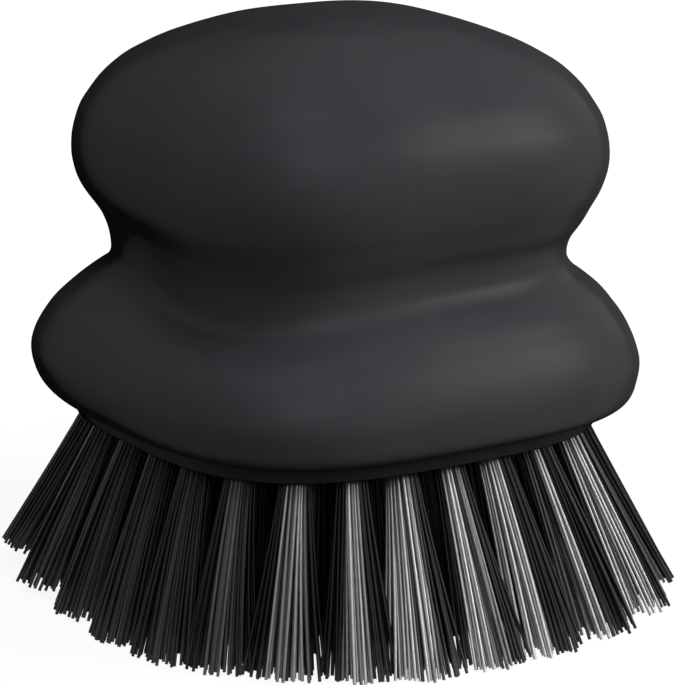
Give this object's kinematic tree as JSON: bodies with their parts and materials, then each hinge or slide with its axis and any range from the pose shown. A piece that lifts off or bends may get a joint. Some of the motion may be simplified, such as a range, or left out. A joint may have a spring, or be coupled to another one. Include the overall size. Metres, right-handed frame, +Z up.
{
  "type": "dish brush",
  "caption": "Short palm dish brush: a soft two-bulge grip with a finger waist over a rounded-oblong block of splayed stiff black bristle tufts.",
  "frame": {"origin": "centre of the footprint, on the surface that the trimmed bristle tips stand on", "axes": "+Z up through the grip's crown, +X along the long way of the rounded-oblong plan, +Y across it"},
  "size_m": [0.0802, 0.075, 0.0729],
  "materials": {
    "soft_grip": "smooth matte soft-touch moulding",
    "core_plastic": "plain moulded",
    "block_plastic": "fine satin moulded",
    "bristle_nylon": "drawn nylon filament, semi-gloss"
  },
  "bodies": {
    "root": {"grip_skin": "soft_grip", "core_shell_front": "core_plastic", "core_shell_back": "core_plastic", "bristle_block": "block_plastic", "outer_tuft_01": "bristle_nylon", "outer_tuft_02": "bristle_nylon", "outer_tuft_03": "bristle_nylon", "outer_tuft_04": "bristle_nylon", "outer_tuft_05": "bristle_nylon", "outer_tuft_06": "bristle_nylon", "outer_tuft_07": "bristle_nylon", "outer_tuft_08": "bristle_nylon", "outer_tuft_09": "bristle_nylon", "outer_tuft_10": "bristle_nylon", "outer_tuft_11": "bristle_nylon", "outer_tuft_12": "bristle_nylon", "outer_tuft_13": "bristle_nylon", "outer_tuft_14": "bristle_nylon", "outer_tuft_15": "bristle_nylon", "outer_tuft_16": "bristle_nylon", "outer_tuft_17": "bristle_nylon", "outer_tuft_18": "bristle_nylon", "outer_tuft_19": "bristle_nylon", "outer_tuft_20": "bristle_nylon", "outer_tuft_21": "bristle_nylon", "outer_tuft_22": "bristle_nylon", "outer_tuft_23": "bristle_nylon", "outer_tuft_24": "bristle_nylon", "outer_tuft_25": "bristle_nylon", "outer_tuft_26": "bristle_nylon", "middle_tuft_01": "bristle_nylon", "middle_tuft_02": "bristle_nylon", "middle_tuft_03": "bristle_nylon", "middle_tuft_04": "bristle_nylon", "middle_tuft_05": "bristle_nylon", "middle_tuft_06": "bristle_nylon", "middle_tuft_07": "bristle_nylon", "middle_tuft_08": "bristle_nylon", "middle_tuft_09": "bristle_nylon", "middle_tuft_10": "bristle_nylon", "middle_tuft_11": "bristle_nylon", "middle_tuft_12": "bristle_nylon", "middle_tuft_13": "bristle_nylon", "middle_tuft_14": "bristle_nylon", "middle_tuft_15": "bristle_nylon", "middle_tuft_16": "bristle_nylon", "middle_tuft_17": "bristle_nylon", "middle_tuft_18": "bristle_nylon", "inner_tuft_01": "bristle_nylon", "inner_tuft_02": "bristle_nylon", "inner_tuft_03": "bristle_nylon", "inner_tuft_04": "bristle_nylon", "inner_tuft_05": "bristle_nylon", "inner_tuft_06": "bristle_nylon", "inner_tuft_07": "bristle_nylon", "inner_tuft_08": "bristle_nylon", "centre_tuft_01": "bristle_nylon", "centre_tuft_02": "bristle_nylon", "centre_tuft_03": "bristle_nylon", "centre_tuft_04": "bristle_nylon"}
  },
  "joints": []
}
